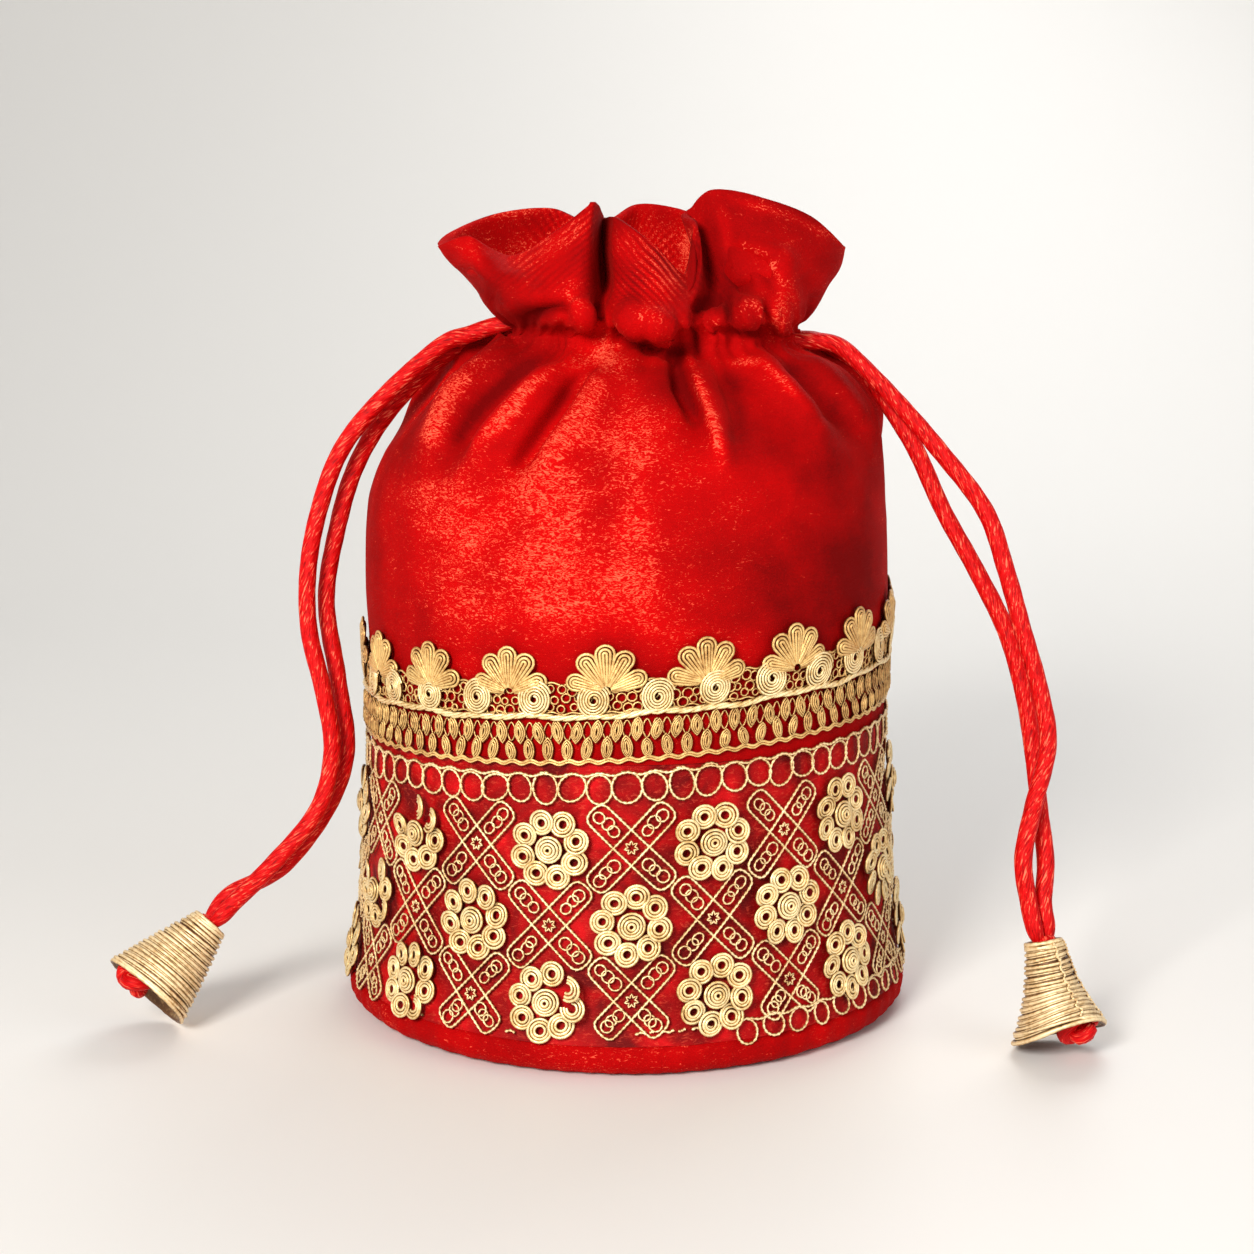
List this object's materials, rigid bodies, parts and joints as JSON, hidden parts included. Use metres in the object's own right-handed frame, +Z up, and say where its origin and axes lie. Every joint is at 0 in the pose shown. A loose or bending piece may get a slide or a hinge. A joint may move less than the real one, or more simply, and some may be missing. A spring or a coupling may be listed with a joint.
{
  "type": "potli bag",
  "caption": "Round velvet drawstring pouch with a frilled neck, gold lace, an embroidered lower panel and paired cords ending in thread-wound cones.",
  "frame": {"origin": "middle of the base, on the surface that the bag stands on", "axes": "+Z up through the mouth, -Y towards the front, the cords leave the neck at +X and -X"},
  "size_m": [0.2554, 0.1511, 0.214],
  "materials": {
    "velvet": "crushed silk velvet with a soft sheen",
    "panel": "red velvet ground under the embroidery",
    "lining": "plain woven lining",
    "card": "stiff grey board",
    "gold_thread": "metallic gold thread, couched and coiled",
    "cord": "satin rattail cord"
  },
  "bodies": {
    "root": {"velvet_top": "velvet", "embroidered_panel": "panel", "base_cover": "velvet", "base_card": "card", "lining": "lining", "scallop_lace": "gold_thread", "leaf_lace": "gold_thread", "cross_lattice": "gold_thread", "rosette_r1_c01": "gold_thread", "rosette_r1_c02": "gold_thread", "rosette_r1_c03": "gold_thread", "rosette_r1_c04": "gold_thread", "rosette_r1_c05": "gold_thread", "rosette_r1_c06": "gold_thread", "rosette_r1_c07": "gold_thread", "rosette_r1_c08": "gold_thread", "rosette_r1_c09": "gold_thread", "rosette_r1_c10": "gold_thread", "rosette_r1_c11": "gold_thread", "rosette_r2_c01": "gold_thread", "rosette_r2_c02": "gold_thread", "rosette_r2_c03": "gold_thread", "rosette_r2_c04": "gold_thread", "rosette_r2_c05": "gold_thread", "rosette_r2_c06": "gold_thread", "rosette_r2_c07": "gold_thread", "rosette_r2_c08": "gold_thread", "rosette_r2_c09": "gold_thread", "rosette_r2_c10": "gold_thread", "rosette_r2_c11": "gold_thread", "rosette_r3_c01": "gold_thread", "rosette_r3_c02": "gold_thread", "rosette_r3_c03": "gold_thread", "rosette_r3_c04": "gold_thread", "rosette_r3_c05": "gold_thread", "rosette_r3_c06": "gold_thread", "rosette_r3_c07": "gold_thread", "rosette_r3_c08": "gold_thread", "rosette_r3_c09": "gold_thread", "rosette_r3_c10": "gold_thread", "rosette_r3_c11": "gold_thread", "left_cord_loop": "cord", "left_cord_front": "cord", "left_cord_back": "cord", "left_tassel_cone": "gold_thread", "left_knot": "cord", "right_cord_loop": "cord", "right_cord_front": "cord", "right_cord_back": "cord", "right_tassel_cone": "gold_thread", "right_knot": "cord"}
  },
  "joints": []
}
